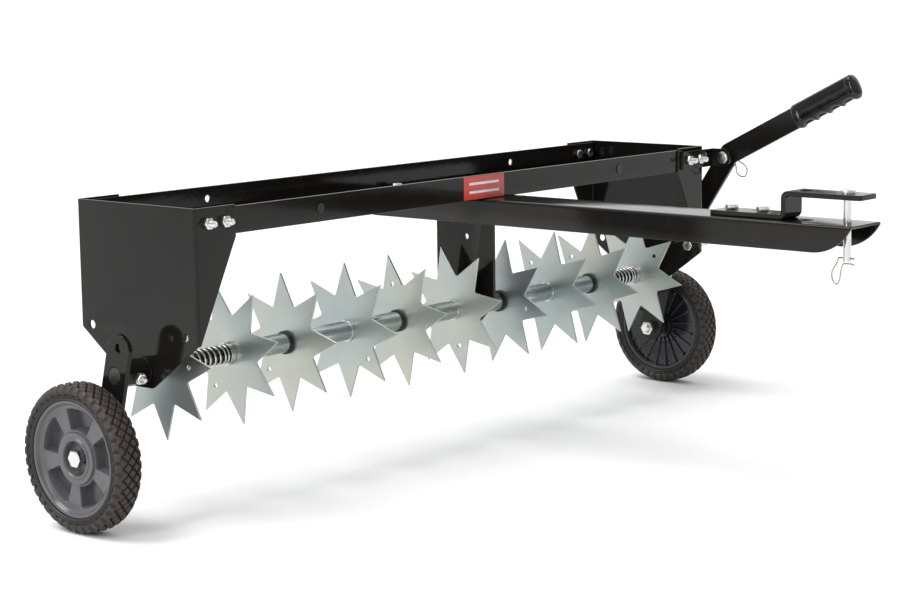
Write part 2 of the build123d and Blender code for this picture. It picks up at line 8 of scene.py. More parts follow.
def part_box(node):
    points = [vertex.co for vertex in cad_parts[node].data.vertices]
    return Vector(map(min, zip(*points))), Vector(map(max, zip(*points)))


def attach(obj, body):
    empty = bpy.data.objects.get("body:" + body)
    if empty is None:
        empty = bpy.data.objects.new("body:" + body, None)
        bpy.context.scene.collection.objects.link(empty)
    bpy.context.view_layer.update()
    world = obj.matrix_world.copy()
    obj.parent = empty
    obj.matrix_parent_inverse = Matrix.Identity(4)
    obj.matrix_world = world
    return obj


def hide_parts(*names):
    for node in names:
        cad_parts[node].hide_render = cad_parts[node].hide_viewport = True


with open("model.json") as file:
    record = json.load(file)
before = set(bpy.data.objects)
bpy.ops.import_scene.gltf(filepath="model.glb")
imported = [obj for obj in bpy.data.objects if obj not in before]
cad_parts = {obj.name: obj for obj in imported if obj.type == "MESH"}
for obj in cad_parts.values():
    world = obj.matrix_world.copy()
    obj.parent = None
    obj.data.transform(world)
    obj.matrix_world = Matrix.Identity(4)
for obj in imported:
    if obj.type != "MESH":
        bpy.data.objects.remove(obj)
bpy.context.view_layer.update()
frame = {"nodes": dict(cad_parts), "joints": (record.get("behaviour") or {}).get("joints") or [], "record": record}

MM = 0.001
JOINTS = {j["name"]: j for j in frame["joints"]}
SHAFT = Vector(JOINTS["lift_lever"]["pos_m"])
WHEEL = {s: Vector(JOINTS[f"wheel_{s}_spin"]["pos_m"]) for s in ("left", "right")}
BODY = {n: b for b, ns in frame["record"]["behaviour"]["bodies"].items() for n in ns}
SLOT = {s["node"]: s["material_slot"] for s in frame["record"]["subparts"]}


# ---------------------------------------------------------------- materials

class Nodes:
    """A small helper that builds one Principled material."""

    def __init__(self, name):
        self.mat = bpy.data.materials.new(name)
        self.mat.use_nodes = True
        self.tree = self.mat.node_tree
        self.shader = self.tree.nodes["Principled BSDF"]
        self.coord = self.tree.nodes.new("ShaderNodeTexCoord").outputs["Object"]

    def node(self, kind, **inputs):
        n = self.tree.nodes.new(kind)
        for key, value in inputs.items():
            self.put(n.inputs[key.replace("_", " ")], value)
        return n

    def put(self, socket, value):
        if isinstance(value, bpy.types.NodeSocket):
            self.tree.links.new(value, socket)
        else:
            socket.default_value = value

    def set(self, **inputs):
        for key, value in inputs.items():
            self.put(self.shader.inputs[key.replace("_", " ")], value)

    def mapped(self, scale, turn=(0, 0, 0)):
        n = self.node("ShaderNodeMapping", Vector=self.coord, Scale=scale, Rotation=turn)
        return n.outputs["Vector"]

    def noise(self, scale, detail=4.0, rough=0.55, vector=None, distort=0.0):
        n = self.node("ShaderNodeTexNoise", Scale=scale, Detail=detail, Roughness=rough, Distortion=distort,
                      Vector=vector or self.coord)
        return n.outputs["Fac"]

    def ramp(self, fac, *stops):
        n = self.node("ShaderNodeValToRGB", Fac=fac)
        ramp = n.color_ramp
        while len(ramp.elements) < len(stops):
            ramp.elements.new(0.5)
        for e, (at, colour) in zip(ramp.elements, stops):
            e.position = at
            e.color = (*colour, 1) if isinstance(colour, tuple) else (colour,) * 3 + (1,)
        return n.outputs["Color"]

    def math(self, op, a, b=0.0, clamp=False):
        n = self.tree.nodes.new("ShaderNodeMath")
        n.operation = op
        n.use_clamp = clamp
        self.put(n.inputs[0], a)
        self.put(n.inputs[1], b)
        return n.outputs[0]

    def mix(self, fac, a, b, mode="MIX"):
        n = self.tree.nodes.new("ShaderNodeMix")
        n.data_type = "RGBA"
        n.blend_type = mode
        self.put(n.inputs["Factor"], fac)
        for socket, value in ((n.inputs[6], a), (n.inputs[7], b)):
            self.put(socket, (*value, 1) if isinstance(value, tuple) and len(value) == 3 else value)
        return n.outputs[2]

    def bump(self, *layers):
        normal = None
        for height, distance, strength in layers:
            n = self.node("ShaderNodeBump", Height=height, Distance=distance, Strength=strength)
            if normal:
                self.put(n.inputs["Normal"], normal)
            normal = n.outputs["Normal"]
        self.put(self.shader.inputs["Normal"], normal)

    def position(self, axis):
        n = self.node("ShaderNodeSeparateXYZ", Vector=self.coord)
        return n.outputs[axis]

    def attribute(self, name):
        n = self.tree.nodes.new("ShaderNodeAttribute")
        n.attribute_name = name
        return n.outputs["Fac"]

    def edge(self, low, high):
        """0 on flats, 1 on raised edges, from the mesh's own curvature."""
        p = self.tree.nodes.new("ShaderNodeNewGeometry").outputs["Pointiness"]
        return self.ramp(p, (low, 0.0), (high, 1.0))


def black_paint():
    m = Nodes("black_powder_coat")
    cloud = m.noise(6, 3)
    dust = m.ramp(m.noise(38, 5, 0.7), (0.52, 0.0), (0.80, 1.0))
    base = m.mix(cloud, (0.0040, 0.0040, 0.0043), (0.0075, 0.0066, 0.0060))
    base = m.mix(m.math("MULTIPLY", dust, 0.20), base, (0.030, 0.026, 0.023))
    # painted highlight: raised edges of the paint are lightened towards warm grey
    painted_edge_highlight = m.edge(0.520, 0.600)
    base = m.mix(m.math("MULTIPLY", painted_edge_highlight, 0.35), base, (0.075, 0.068, 0.060))
    m.set(Base_Color=base, Metallic=0.0, IOR=1.5, Specular_IOR_Level=0.24,
          Roughness=m.math("ADD", m.math("MULTIPLY", m.noise(22, 4), 0.10), 0.055))
    m.bump((m.noise(900, 2), 0.0002, 0.05), (m.noise(140, 2), 0.0006, 0.07), (m.noise(9, 2), 0.003, 0.06))
    return m.mat


def zinc_sheet():
    m = Nodes("zinc_sheet")
    large = m.noise(7.0, 2, 0.5)
    blot = m.noise(17, 3, 0.5, distort=0.4)
    streak = m.noise(1.0, 5, 0.6, vector=m.mapped((40, 700, 40)))
    tone = m.ramp(large, (0.36, (0.315, 0.385, 0.400)), (0.50, (0.400, 0.455, 0.450)),
                  (0.64, (0.480, 0.500, 0.440)))
    tone = m.mix(m.math("MULTIPLY", blot, 0.40), tone, (0.30, 0.365, 0.385))
    smudge = m.ramp(m.noise(90, 5, 0.7), (0.62, 0.0), (0.80, 1.0))
    tone = m.mix(m.math("MULTIPLY", smudge, 0.12), tone, (0.24, 0.27, 0.27))
    tone = m.mix(m.math("MULTIPLY", streak, 0.10), tone, (0.30, 0.33, 0.33))
    # painted highlight: raised cut edges of the stars are lightened to a pale yellow-grey
    tone = m.mix(m.math("MULTIPLY", m.edge(0.52, 0.60), 0.5), tone, (0.74, 0.72, 0.60))
    uneven = m.math("ADD", m.math("MULTIPLY", streak, 0.05), m.math("MULTIPLY", blot, 0.12))
    m.set(Base_Color=tone, Metallic=0.85, IOR=1.6, Roughness=m.math("ADD", uneven, 0.24))
    m.bump((streak, 0.0002, 0.020), (m.noise(420, 3), 0.0002, 0.035))
    return m.mat


def zinc_bright(name, light, dark, rough):
    m = Nodes(name)
    tone = m.mix(m.noise(140, 4, 0.6), light, dark)
    stain = m.ramp(m.noise(320, 5, 0.7), (0.58, 0.0), (0.75, 1.0))
    tone = m.mix(m.math("MULTIPLY", stain, 0.35), tone, tuple(c * 0.55 for c in dark))
    m.set(Base_Color=tone, Metallic=1.0,
          Roughness=m.math("ADD", m.math("MULTIPLY", m.noise(260, 3), 0.18), rough))
    m.bump((m.noise(900, 3), 0.00015, 0.15))
    return m.mat


def drawn_steel(name, light, dark, rough, along="X"):
    m = Nodes(name)
    scale = (30, 1500, 1500) if along == "X" else (600, 600, 600)
    line = m.noise(1.0, 4, 0.6, vector=m.mapped(scale))
    tone = m.mix(line, dark, light)
    tone = m.mix(m.math("MULTIPLY", m.noise(45, 4, 0.7), 0.5), tone, tuple(c * 0.6 for c in dark))
    m.set(Base_Color=tone, Metallic=0.95, Roughness=m.math("ADD", m.math("MULTIPLY", line, 0.15), rough))
    m.bump((line, 0.0001, 0.15))
    return m.mat


def tyre_rubber():
    m = Nodes("tyre_rubber")
    cloud = m.noise(30, 4, 0.6)
    speck = m.ramp(m.noise(420, 4, 0.7), (0.50, 0.0), (0.72, 1.0))
    tone = m.mix(cloud, (0.024, 0.0185, 0.0160), (0.052, 0.039, 0.031))
    tone = m.mix(m.math("MULTIPLY", speck, 0.35), tone, (0.105, 0.078, 0.060))
    wall = m.attribute("wall")
    tone = m.mix(m.math("MULTIPLY", wall, 0.80), tone, (0.0125, 0.0118, 0.0115))
    # painted shade: tread grooves and lug cuts are darkened to near black by their stored cut depth
    tone = m.mix(m.math("MULTIPLY", m.attribute("painted_groove_shade"), 0.66), tone, (0.0040, 0.0036, 0.0035))
    rough = m.math("ADD", m.math("MULTIPLY", cloud, 0.2), 0.44)
    m.set(Base_Color=tone, Roughness=m.math("SUBTRACT", rough, m.math("MULTIPLY", wall, 0.14)), IOR=1.5,
          Specular_IOR_Level=0.4)
    m.bump((m.noise(700, 4, 0.7), 0.0005, 0.30), (m.noise(90, 3), 0.0006, 0.15))
    return m.mat


def hub_plastic():
    m = Nodes("hub_plastic")
    flow = m.noise(24, 3, 0.5)
    scuff = m.ramp(m.noise(130, 5, 0.75), (0.60, 0.0), (0.80, 1.0))
    tone = m.mix(flow, (0.088, 0.088, 0.096), (0.108, 0.107, 0.113))
    tone = m.mix(m.math("MULTIPLY", scuff, 0.35), tone, (0.20, 0.20, 0.20))
    # painted shade: the inner side of each wheel is darkened to near black
    x = m.math("ABSOLUTE", m.math("SUBTRACT", m.position("X"), SHAFT.x))
    mid = abs(WHEEL["right"].x - SHAFT.x)
    inner = m.ramp(m.math("MULTIPLY", m.math("SUBTRACT", x, mid - 0.02), 25.0), (0.38, 1.0), (0.44, 0.0))
    tone = m.mix(inner, tone, (0.012, 0.012, 0.015))
    # painted highlight: raised ribs, pin dots and the rim line on the inner side are lightened back to grey
    tone = m.mix(m.math("MULTIPLY", m.attribute("rib"), 0.8), tone, (0.085, 0.085, 0.092))
    m.set(Base_Color=tone, Roughness=m.math("ADD", m.math("MULTIPLY", flow, 0.14), 0.17), IOR=1.48)
    m.bump((m.noise(800, 3), 0.0003, 0.12), (flow, 0.0005, 0.05))
    return m.mat


def soft_plastic(name, colour, rough, grain):
    m = Nodes(name)
    cloud = m.noise(70, 4)
    tone = m.mix(cloud, colour, tuple(c * 1.7 for c in colour))
    m.set(Base_Color=tone, Roughness=m.math("ADD", m.math("MULTIPLY", cloud, 0.18), rough), IOR=1.5)
    m.bump((m.noise(grain, 3), 0.0003, 0.25))
    return m.mat


def label_red():
    m = Nodes("label_red")
    lo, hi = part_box("label")
    cx, cz = (lo.x + hi.x) / 2, (lo.z + hi.z) / 2
    dx = m.math("ABSOLUTE", m.math("SUBTRACT", m.position("X"), cx))
    dz = m.math("ABSOLUTE", m.math("SUBTRACT", m.position("Z"), cz))
    fade = m.mix(m.noise(60, 4), (0.56, 0.030, 0.022), (0.66, 0.055, 0.040))
    in_x = m.math("LESS_THAN", dx, (hi.x - lo.x) / 2 - 0.011)
    bar = m.math("LESS_THAN", m.math("ABSOLUTE", m.math("SUBTRACT", dz, 0.0055)), 0.0016)
    white = m.math("MULTIPLY", in_x, bar)
    tone = m.mix(white, fade, (0.82, 0.78, 0.75))
    m.set(Base_Color=tone, Roughness=m.math("ADD", m.math("MULTIPLY", m.noise(90, 4), 0.12), 0.26),
          Coat_Weight=0.4, Coat_Roughness=0.15)
    m.bump((m.noise(500, 2), 0.0002, 0.08))
    return m.mat


MATERIALS = {
    "black_paint": black_paint(),
    "zinc_star": zinc_sheet(),
    "zinc_fastener": zinc_bright("zinc_fastener", (0.80, 0.80, 0.78), (0.60, 0.60, 0.57), 0.17),
    "zinc_pin": zinc_bright("zinc_pin", (0.80, 0.80, 0.79), (0.56, 0.56, 0.55), 0.14),
    "clip_wire": zinc_bright("clip_wire", (0.52, 0.52, 0.50), (0.30, 0.30, 0.29), 0.18),
    "shaft_steel": drawn_steel("shaft_steel", (0.17, 0.16, 0.15), (0.08, 0.075, 0.07), 0.30),
    "tube_steel": drawn_steel("tube_steel", (0.60, 0.65, 0.66), (0.42, 0.47, 0.48), 0.16),
    "spring_steel": zinc_bright("spring_steel", (0.74, 0.74, 0.73), (0.48, 0.48, 0.48), 0.16),
    "nylon_black": soft_plastic("nylon_black", (0.005, 0.005, 0.005), 0.30, 700),
    "grip_plastic": soft_plastic("grip_plastic", (0.0035, 0.0035, 0.0035), 0.05, 520),
    "hub_plastic": hub_plastic(),
    "tyre_rubber": tyre_rubber(),
    "label_red": label_red(),
}


# ---------------------------------------------------------------- mesh helpers

def add_piece(name, mesh, node, smooth_angle=32.0):
    """Links a mesh that stands for one CAD node and rides on its body."""
    obj = bpy.data.objects.new(name, mesh)
    bpy.context.scene.collection.objects.link(obj)
    mesh.materials.clear()
    mesh.materials.append(MATERIALS[SLOT[node]])
    shade(mesh, smooth_angle)
    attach(obj, BODY[node])
    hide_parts(node)
    return obj


def shade(mesh, angle):
    bm = bmesh.new()
    bm.from_mesh(mesh)
    for f in bm.faces:
        f.smooth = True
    limit = math.radians(angle)
    for e in bm.edges:
        e.smooth = len(e.link_faces) == 2 and e.calc_face_angle(0.0) < limit
    bm.to_mesh(mesh)
    bm.free()


def softened(node, width, segments=2):
    """The CAD node again, with its sheared or machined edges broken by a small bevel."""
    mesh = frame["nodes"][node].data.copy()
    bm = bmesh.new()
    bm.from_mesh(mesh)
    bmesh.ops.remove_doubles(bm, verts=bm.verts, dist=2e-6)
    bmesh.ops.dissolve_limit(bm, angle_limit=math.radians(0.4), verts=bm.verts, edges=bm.edges)
    bm.to_mesh(mesh)
    bm.free()
    obj = add_piece(node + "_finished", mesh, node)
    bevel = obj.modifiers.new("edge", "BEVEL")
    bevel.width = width
    bevel.segments = segments
    bevel.limit_method = "ANGLE"
    bevel.angle_limit = math.radians(38)
    bevel.use_clamp_overlap = False
    bevel.harden_normals = True
    bevel.miter_outer = "MITER_ARC"
    return obj


def islands(node):
    """Boxes of the separate solids in one CAD node, as (low, high) corners."""
    bm = bmesh.new()
    bm.from_mesh(frame["nodes"][node].data)
    bmesh.ops.remove_doubles(bm, verts=bm.verts, dist=2e-6)
    seen = set()
    found = []
    for start in bm.verts:
        if start.index in seen:
            continue
        seen.add(start.index)
        stack, points = [start], []
        while stack:
            v = stack.pop()
            points.append(v.co.copy())
            for e in v.link_edges:
                w = e.other_vert(v)
                if w.index not in seen:
                    seen.add(w.index)
                    stack.append(w)
        lo = Vector([min(p[i] for p in points) for i in range(3)])
        hi = Vector([max(p[i] for p in points) for i in range(3)])
        found.append((lo, hi, points))
    bm.free()
    return found


def grid_mesh(bm, rows, closed_u=True, closed_v=False, flip=False):
    """Quads over rows of points; closed_u joins each row's ends, closed_v joins the last row to the first."""
    verts = [[bm.verts.new(p) for p in row] for row in rows]
    n_rows, n = len(verts), len(verts[0])
    for i in range(n_rows if closed_v else n_rows - 1):
        a, b = verts[i], verts[(i + 1) % n_rows]
        for j in range(n if closed_u else n - 1):
            k = (j + 1) % n
            quad = [a[j], a[k], b[k], b[j]]
            bm.faces.new(quad[::-1] if flip else quad)
    return verts


def cap(bm, ring, flip=False):
    bm.faces.new(ring[::-1] if flip else ring)


def lathe_rows(profile, steps, frame_m):
    """Rings for a profile of (distance along +Z, radius)."""
    rows = []
    for z, r in profile:
        turns = [2 * math.pi * k / steps for k in range(steps)]
        rows.append([frame_m @ Vector((r * math.cos(a), r * math.sin(a), z)) for a in turns])
    return rows


def to_mesh(bm, name):
    bmesh.ops.recalc_face_normals(bm, faces=bm.faces)
    mesh = bpy.data.meshes.new(name)
    bm.to_mesh(mesh)
    bm.free()
    return mesh


def facing(axis, sign):
    """Rotation that takes +Z to a signed axis."""
    d = Vector([sign if a == axis else 0.0 for a in "xyz"])
    return d.to_track_quat("Z", "Y").to_matrix().to_4x4()


# ---------------------------------------------------------------- fasteners

def hex_ring(af, inset, z, m, corner=1.0):
    pts = []
    for k in range(6):
        a = math.radians(60 * k)
        b = math.radians(60 * (k + 1))
        r = af / 2 / math.cos(math.radians(30)) - inset
        for t in (0.0, 0.12, 0.5, 0.88):
            p = Vector((math.cos(a), math.sin(a), 0)).lerp(Vector((math.cos(b), math.sin(b), 0)), t) * r
            limit = af / 2 * 1.13 * corner - inset * 0.2
            if p.length > limit:
                p = p.normalized() * limit
            pts.append(m @ Vector((p.x, p.y, z)))
    return pts


def thread_rows(r, z0, z1, pitch, m, steps=20):
    """Rings of a screw thread from z0 to z1, with a chamfered tip at z1."""
    rows = []
    n = max(2, int((z1 - z0) / pitch * 6))
    depth = pitch * 0.5
    for i in range(n + 1):
        z = z0 + (z1 - z0) * i / n
        ring = []
        for k in range(steps):
            phase = (z / pitch - k / steps) % 1.0
            dip = depth * abs(2 * phase - 1)
            rr = r - dip
            rr = min(rr, r - depth * 0.2, r - max(0.0, z - (z1 - 1.1 * pitch)) * 0.9)
            a = 2 * math.pi * k / steps
            ring.append(m @ Vector((rr * math.cos(a), rr * math.sin(a), z)))
        rows.append(ring)
    return rows


def add_head(bm, af, height, m):
    """A hex head that stands on z = 0 and ends at -height, with a washer face and a domed chamfer."""
    washer = 0.5 * MM
    rows = [lathe_rows([(0.0, af * 0.46)], 24, m)[0], lathe_rows([(-washer, af * 0.47)], 24, m)[0]]
    rows += [hex_ring(af, 0.15 * MM, -washer, m), hex_ring(af, 0.0, -washer - 0.25 * MM, m)]
    rows += [hex_ring(af, 0.0, -height + 1.0 * MM, m), hex_ring(af, 0.10 * MM, -height + 0.55 * MM, m, 0.985)]
    rows += [hex_ring(af, 0.9 * MM, -height + 0.12 * MM, m, 0.93), hex_ring(af, 1.6 * MM, -height, m, 0.86)]
    v = grid_mesh(bm, rows)
    cap(bm, v[-1])


def add_nut(bm, af, height, bore, m):
    """A hex nut on z = 0 to height with both faces chamfered and an open bore."""
    rows = [hex_ring(af, 1.4 * MM, 0.0, m, 0.9), hex_ring(af, 0.2 * MM, 0.5 * MM, m, 0.98)]
    rows += [hex_ring(af, 0, 0.9 * MM, m)]
    rows += [hex_ring(af, 0, height - 0.9 * MM, m), hex_ring(af, 0.2 * MM, height - 0.45 * MM, m, 0.98)]
    rows += [hex_ring(af, 1.4 * MM, height, m, 0.9)]
    inside = [(height, bore + 0.6 * MM), (height - 0.5 * MM, bore), (0.5 * MM, bore), (0.0, bore + 0.5 * MM)]
    rows += lathe_rows(inside, 24, m)
    grid_mesh(bm, rows, closed_v=True)


def bolts_piece(node, axis, signs, af, head, r, pitch, grip, tilt=0.0):
    """Replaces a node of bolts. signs gives the way the thread points; grip is the plain length."""
    bm = bmesh.new()
    turn = Matrix.Rotation(tilt, 4, "X")
    for lo, hi, points in islands(node):
        centre = (lo + hi) / 2
        if tilt:
            local = [turn.inverted() @ (p - SHAFT) for p in points]
            lo = Vector([min(p[i] for p in local) for i in range(3)]) + SHAFT
            hi = Vector([max(p[i] for p in local) for i in range(3)]) + SHAFT
            centre = (lo + hi) / 2
        i = "xyz".index(axis)
        sign = signs(centre)
        length = hi[i] - lo[i] - head
        at = centre.copy()
        at[i] = (lo[i] + head) if sign > 0 else (hi[i] - head)
        m = Matrix.Translation(at) @ facing(axis, sign)
        if tilt:
            m = Matrix.Translation(SHAFT) @ turn @ Matrix.Translation(-SHAFT) @ m
        add_head(bm, af, head, m)
        rows = lathe_rows([(0.0, r), (min(grip, length * 0.4), r)], 20, m)
        rows += thread_rows(r, min(grip, length * 0.4) + 0.2 * MM, length, pitch, m)
        v = grid_mesh(bm, rows)
        cap(bm, v[-1])
    return add_piece(node + "_turned", to_mesh(bm, node), node, 28)


def nuts_piece(node, axis, af, bore, tilt=0.0):
    bm = bmesh.new()
    turn = Matrix.Rotation(tilt, 4, "X")
    for lo, hi, points in islands(node):
        if tilt:
            local = [turn.inverted() @ (p - SHAFT) for p in points]
            lo = Vector([min(p[i] for p in local) for i in range(3)]) + SHAFT
            hi = Vector([max(p[i] for p in local) for i in range(3)]) + SHAFT
        i = "xyz".index(axis)
        at = (lo + hi) / 2
        at[i] = lo[i]
        m = Matrix.Translation(at) @ facing(axis, 1)
        if tilt:
            m = Matrix.Translation(SHAFT) @ turn @ Matrix.Translation(-SHAFT) @ m
        add_nut(bm, af, hi[i] - lo[i], bore, m)
    return add_piece(node + "_turned", to_mesh(bm, node), node, 28)


M8 = dict(af=12.7 * MM, head=5.3 * MM, r=3.95 * MM, pitch=1.3 * MM)
M10 = dict(af=14.3 * MM, head=6.2 * MM, r=4.75 * MM, pitch=1.5 * MM)
M12 = dict(af=19.0 * MM, head=7.9 * MM, r=6.35 * MM, pitch=1.8 * MM)
plate_mid_y = sum(v.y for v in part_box("plate_left")) / 2
arm_tilt = math.atan2(WHEEL["left"].y - SHAFT.y, SHAFT.z - WHEEL["left"].z)

bolts_piece("corner_bolts", "y", lambda c: -1 if c.y < plate_mid_y else 1, grip=5 * MM, **M8)
bolts_piece("tongue_bolts", "z", lambda c: -1, grip=3 * MM, **M8)
bolts_piece("hitch_bolts", "z", lambda c: -1, grip=6 * MM, **M10)
bolts_piece("hanger_bolts", "x", lambda c: -1, grip=5 * MM, **M8)
bolts_piece("stop_bolt", "x", lambda c: 1, grip=2 * MM, **M10)
bolts_piece("lever_bolt", "x", lambda c: -1, grip=9 * MM, **M10)
bolts_piece("axle_bolts", "x", lambda c: -1 if c.x > SHAFT.x else 1, grip=30 * MM, **M12)
bolts_piece("cross_bolts", "y", lambda c: -1, grip=16 * MM, tilt=arm_tilt, **M8)
for node, axis in (("corner_nuts", "y"), ("tongue_nuts", "z"), ("hanger_nuts", "x")):
    nuts_piece(node, axis, M8["af"], M8["r"])
for node, axis in (("hitch_nuts", "z"), ("stop_nut", "x"), ("lever_nut", "x")):
    nuts_piece(node, axis, M10["af"], M10["r"])
nuts_piece("axle_nuts", "x", M12["af"], M12["r"])
nuts_piece("cross_nuts", "y", M8["af"], M8["r"], tilt=arm_tilt)


# ---------------------------------------------------------------- sheet, bar and plate parts

for node in ("plate_left", "plate_right", "angle_front", "angle_rear", "tongue", "hanger", "lock_bracket"):
    softened(node, 0.55 * MM, 3)
for node in ("hitch_bracket", "wheel_arm_left", "wheel_arm_right", "lever_bar"):
    softened(node, 1.0 * MM, 3)
for index in range(1, 11):
    softened(f"star_{index:02d}", 0.35 * MM, 2)
for node in ("arm_collars", "axle_spacers", "spacer_tubes", "star_washers", "star_rings", "shaft_bushes",
             "hole_plugs"):
    softened(node, 0.4 * MM, 2)
softened("shaft", 0.6 * MM, 2)
for node in ("hitch_pin", "lock_clip", "hitch_clip"):
    softened(node, 0.15 * MM, 2)
softened("label", 0.12 * MM, 1)


# ---------------------------------------------------------------- lock pin

def lock_pin_piece():
    """Turned pin with a low domed head that shows the lathe's rings."""
    node = "lock_pin"
    lo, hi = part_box(node)
    head = (hi.z - lo.z) / 2
    pin = 4.75 * MM
    at = Vector((lo.x, (lo.y + hi.y) / 2, (lo.z + hi.z) / 2))
    profile = [(1.5 * MM * (i / 22) ** 2, 0.2 * MM + (head - 0.5 * MM) * i / 22) for i in range(23)]
    profile = [(x + (0.05 * MM if i % 2 else 0.0), r) for i, (x, r) in enumerate(profile)]
    profile += [(1.9 * MM, head), (3.6 * MM, head), (4.0 * MM, head - 0.4 * MM), (4.0 * MM, pin)]
    length = hi.x - lo.x
    profile += [(length - 1.2 * MM, pin), (length, pin - 1.2 * MM)]
    bm = bmesh.new()
    v = grid_mesh(bm, lathe_rows(profile, 48, Matrix.Translation(at) @ facing("x", 1)))
    cap(bm, v[0])
    cap(bm, v[-1])
    return add_piece("lock_pin_turned", to_mesh(bm, node), node, 40)


lock_pin_piece()


# ---------------------------------------------------------------- springs

def spring_piece(node, wire=1.45 * MM, turns=13):
    """A round-wire compression spring whose end turns lie closed and are ground flat."""
    lo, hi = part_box(node)
    radius = (hi.z - lo.z) / 2 - wire
    length = hi.x - lo.x
    steps = 36 * turns
    bm = bmesh.new()
    rows = []
    for i in range(steps + 1):
        t = i / steps
        s = t * turns
        lead = 2 * wire / length * 1.02
        ends = 1.0
        if s < ends:
            x = lead * s
        elif s > turns - ends:
            x = 1 - lead * (turns - s)
        else:
            x = lead * ends + (1 - 2 * lead * ends) * (s - ends) / (turns - 2 * ends)
        x = lo.x + wire + x * (length - 2 * wire)
        a = 2 * math.pi * s
        out = Vector((0, math.cos(a), math.sin(a)))
        centre = Vector((x, SHAFT.y, SHAFT.z)) + out * radius
        w = wire * (0.55 + 0.45 * min(1.0, min(s, turns - s) * 2.5))
        rows.append([centre + out * w * math.cos(b) + Vector((1, 0, 0)) * w * math.sin(b)
                     for b in [2 * math.pi * k / 12 for k in range(12)]])
    v = grid_mesh(bm, rows)
    cap(bm, v[0])
    cap(bm, v[-1])
    return add_piece(node + "_wound", to_mesh(bm, node), node, 60)


spring_piece("spring_left")
spring_piece("spring_right")


# ---------------------------------------------------------------- wheels

def smooth(lo, hi, x):
    t = min(1.0, max(0.0, (x - lo) / (hi - lo)))
    return t * t * (3 - 2 * t)


def tyre_piece(side):
    """Solid tyre with shoulder lugs, a diamond tread and moulded rings on the side walls."""
    node = f"tyre_{side}"
    lo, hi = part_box(node)
    centre = WHEEL[side]
    half = (hi.x - lo.x) / 2
    mid = (hi.x + lo.x) / 2
    big = (hi.z - lo.z) / 2
    seat = big - 19.0 * MM
    lugs = 40
    steps = lugs * 16
    drop = 7.0 * MM
    # side walls from the seat out: (distance from the middle plane, radius, share of the lug cut)
    wall = []
    for i in range(27):
        t = i / 26
        r = seat + (big - drop - seat) * t
        ring = 1.0 * MM * (smooth(0.10, 0.15, t) - smooth(0.24, 0.29, t))
        ring += 0.8 * MM * (smooth(0.37, 0.41, t) - smooth(0.49, 0.53, t))
        x = half - 2.2 * MM + ring + 2.0 * MM * smooth(0.55, 0.80, t)
        wall.append((x, r, smooth(0.60, 0.75, t)))
    crown = []
    n = 56
    for i in range(1, n):
        u = math.cos(math.pi * i / n)
        u = 0.35 * u + 0.65 * (1 - 2 * i / n)
        crown.append(((half - 0.2 * MM) * u, big - drop * abs(u) ** 4.5, 1.0))
    profile = wall + crown + [(-x, r, c) for x, r, c in wall[::-1]]
    bm = bmesh.new()
    # painted shade: each vertex keeps its cut depth so the material can darken the grooves
    painted_groove_shade = bm.verts.layers.float.new("painted_groove_shade")
    side_wall = bm.verts.layers.float.new("wall")
    rows, cuts, walls = [], [], []
    for x, r, share in profile:
        u = x / half
        shoulder = smooth(0.66, 0.76, abs(u))
        ring, depth = [], []
        for k in range(steps):
            a = 2 * math.pi * k / steps
            s = k / steps * lugs
            d1 = abs(((s + u * 1.55) % 1.0) - 0.5)
            d2 = abs(((s - u * 1.55) % 1.0) - 0.5)
            diamond = max(smooth(0.35, 0.43, d1), smooth(0.35, 0.43, d2))
            bar = smooth(0.27, 0.40, abs(((s + 0.5 * math.copysign(1, u)) % 1.0) - 0.5))
            cut = (diamond * (1 - shoulder) + bar * shoulder) * share
            ring.append(Vector((mid + x, centre.y + (r - 2.6 * MM * cut) * math.cos(a),
                                centre.z + (r - 2.6 * MM * cut) * math.sin(a))))
            depth.append(cut)
        rows.append(ring)
        cuts.append(depth)
        walls.append(1 - smooth(big - 10.5 * MM, big - 7.5 * MM, r))
    for x in (-half + 5 * MM, 0.0, half - 5 * MM):
        rows.append([Vector((mid + x, centre.y + seat * math.cos(2 * math.pi * k / steps),
                             centre.z + seat * math.sin(2 * math.pi * k / steps))) for k in range(steps)])
        cuts.append([0.0] * steps)
        walls.append(1.0)
    for ring, depth, share in zip(grid_mesh(bm, rows, closed_v=True), cuts, walls):
        for v, cut in zip(ring, depth):
            v[painted_groove_shade] = cut
            v[side_wall] = share
    return add_piece(f"{node}_moulded", to_mesh(bm, node), node, 50)


